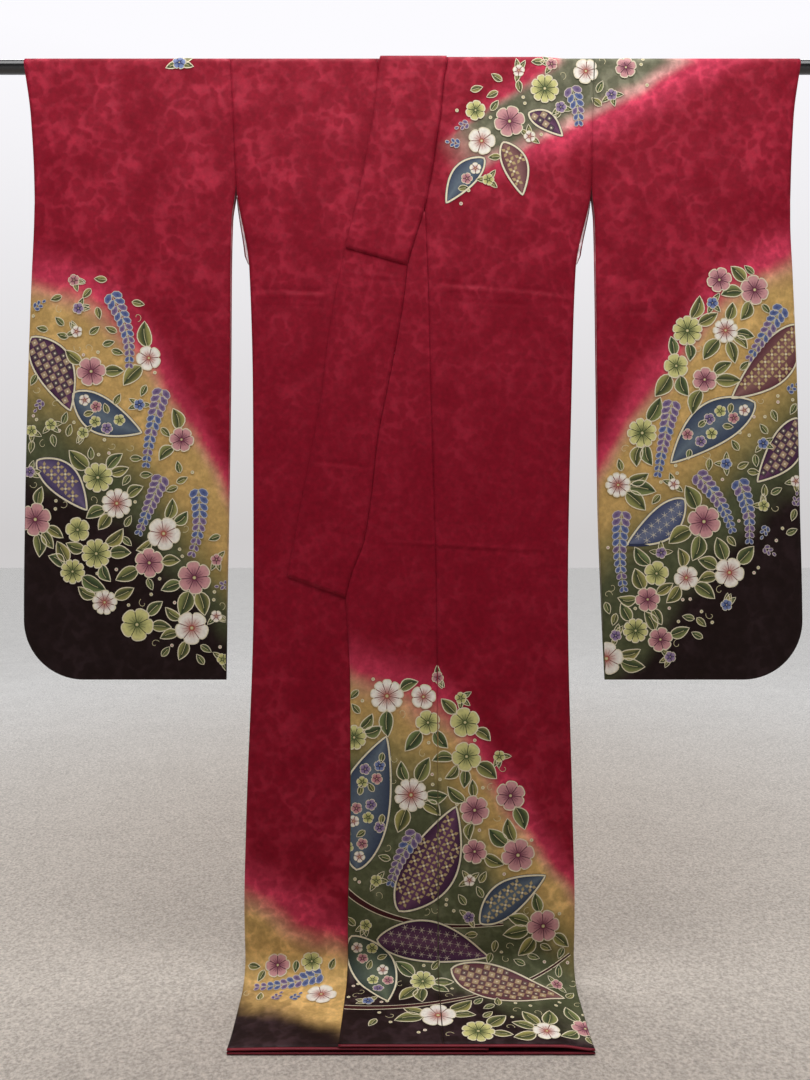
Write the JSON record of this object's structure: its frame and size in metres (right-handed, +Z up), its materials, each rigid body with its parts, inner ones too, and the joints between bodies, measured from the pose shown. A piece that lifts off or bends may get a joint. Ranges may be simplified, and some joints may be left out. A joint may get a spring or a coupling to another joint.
{
  "type": "furisode kimono on its display rod",
  "caption": "Long-sleeved formal kimono hung flat over a round rod, left front over right, hem laid forward on the floor.",
  "frame": {"origin": "on the axis of the rod that holds the kimono, at its middle", "axes": "+X to the wearer's left, along the rod; -Y out of the kimono's front; +Z up"},
  "size_m": [1.4, 0.2109, 1.537],
  "materials": {
    "outer_silk": "soft satin, damask ground",
    "hem_roll": "soft satin",
    "lining": "soft satin",
    "rod": "black gloss lacquer"
  },
  "bodies": {
    "root": {"rod": "rod", "body_front_left": "outer_silk", "body_front_right": "outer_silk", "body_shoulder_left": "outer_silk", "body_shoulder_right": "outer_silk", "body_back_left": "outer_silk", "body_back_right": "outer_silk", "okumi_left": "outer_silk", "okumi_right": "outer_silk", "collar_left": "outer_silk", "collar_right": "outer_silk", "over_collar": "outer_silk", "sleeve_left": "outer_silk", "sleeve_right": "outer_silk", "hem_roll_left": "hem_roll", "hem_roll_right": "hem_roll", "hem_roll_back": "hem_roll", "lining_edge_left": "lining", "lining_edge_right": "lining"}
  },
  "joints": []
}
